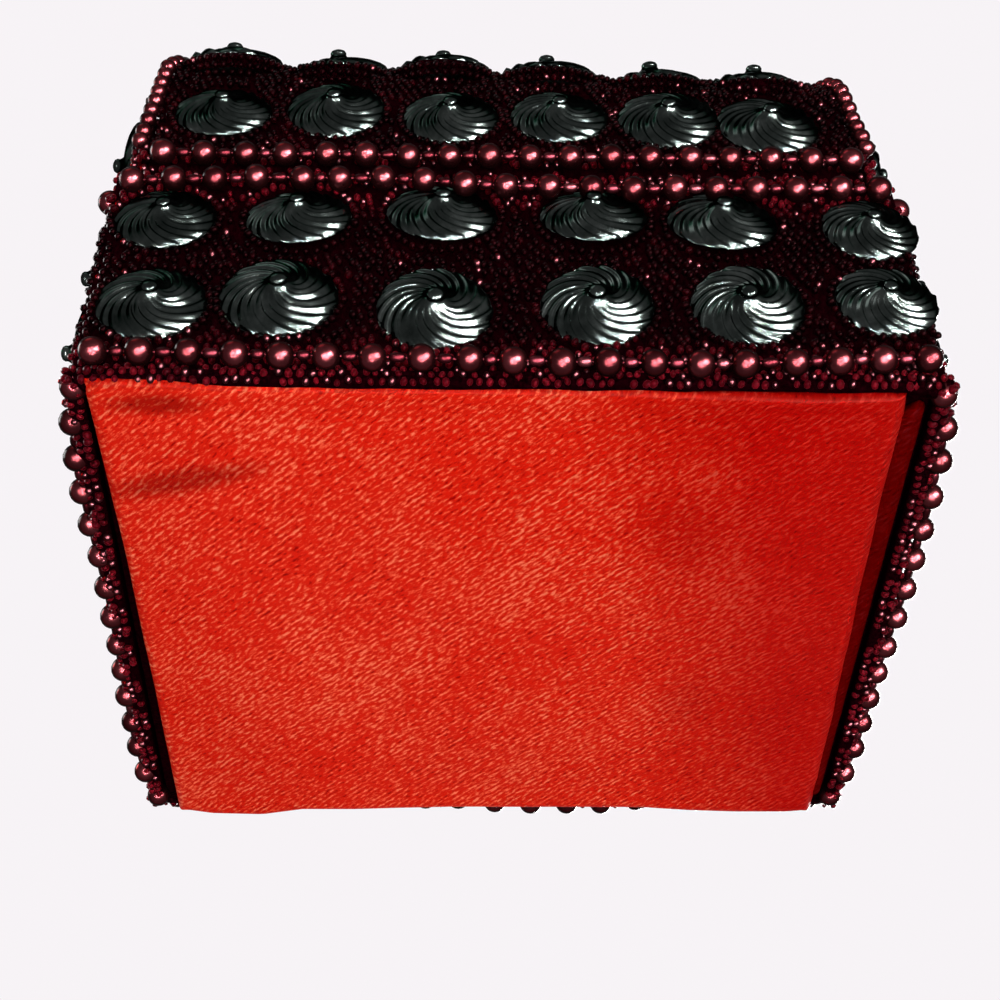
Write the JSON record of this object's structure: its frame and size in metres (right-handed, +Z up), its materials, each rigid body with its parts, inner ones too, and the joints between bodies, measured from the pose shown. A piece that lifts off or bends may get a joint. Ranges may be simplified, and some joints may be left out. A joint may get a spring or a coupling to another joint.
{
  "type": "beaded jewelry box",
  "caption": "Rectangular keepsake box with a hinged padded lid, walls covered in pearl strands and swirl studs, and a satin base pad.",
  "frame": {"origin": "centre of the overall box at the underside of the satin base pad", "axes": "+X across the front to the right, +Y from the front to the hinged back, +Z up"},
  "size_m": [0.1118, 0.0954, 0.0848],
  "materials": {
    "red_satin": "bright red satin with a fine weave",
    "satin_lining": "red satin over card",
    "seed_beads": "very dark maroon seed beads sewn on cloth, with silvered swirl studs",
    "maroon_pearls": "pearlescent maroon",
    "grey_board": "plain grey board",
    "wadding": "soft white wadding",
    "hinge_brass": "polished brass"
  },
  "bodies": {
    "body": {"satin_base_pad": "red_satin", "base_board": "grey_board", "floor_lining": "satin_lining", "body_front_board": "grey_board", "body_front_lining": "satin_lining", "body_front_beading": "seed_beads", "base_front_pearls": "maroon_pearls", "body_rim_front_pearls": "maroon_pearls", "body_back_board": "grey_board", "body_back_lining": "satin_lining", "body_back_beading": "seed_beads", "base_back_pearls": "maroon_pearls", "body_left_board": "grey_board", "body_left_lining": "satin_lining", "body_left_beading": "seed_beads", "base_left_pearls": "maroon_pearls", "body_rim_left_pearls": "maroon_pearls", "body_right_board": "grey_board", "body_right_lining": "satin_lining", "body_right_beading": "seed_beads", "base_right_pearls": "maroon_pearls", "body_rim_right_pearls": "maroon_pearls", "hinge_left_body_leaf": "hinge_brass", "hinge_left_pin": "hinge_brass", "hinge_right_body_leaf": "hinge_brass", "hinge_right_pin": "hinge_brass"},
    "lid": {"lid_top_board": "grey_board", "lid_top_lining": "satin_lining", "lid_wadding": "wadding", "lid_top_beading": "seed_beads", "lid_front_board": "grey_board", "lid_front_lining": "satin_lining", "lid_front_beading": "seed_beads", "lid_rim_front_pearls": "maroon_pearls", "lid_back_board": "grey_board", "lid_back_lining": "satin_lining", "lid_back_beading": "seed_beads", "lid_left_board": "grey_board", "lid_left_lining": "satin_lining", "lid_left_beading": "seed_beads", "lid_rim_left_pearls": "maroon_pearls", "lid_right_board": "grey_board", "lid_right_lining": "satin_lining", "lid_right_beading": "seed_beads", "lid_rim_right_pearls": "maroon_pearls", "lid_front_left_corner_pearls": "maroon_pearls", "lid_front_right_corner_pearls": "maroon_pearls", "lid_back_left_corner_pearls": "maroon_pearls", "lid_back_right_corner_pearls": "maroon_pearls", "hinge_left_lid_leaf": "hinge_brass", "hinge_right_lid_leaf": "hinge_brass"}
  },
  "joints": [
    {"name": "lid_hinge", "type": "hinge", "parent": "body", "child": "lid", "pos_m": [0, 0.04505, 0.0414], "axis": [-1, 0, 0], "range_deg": [0, 100]}
  ]
}
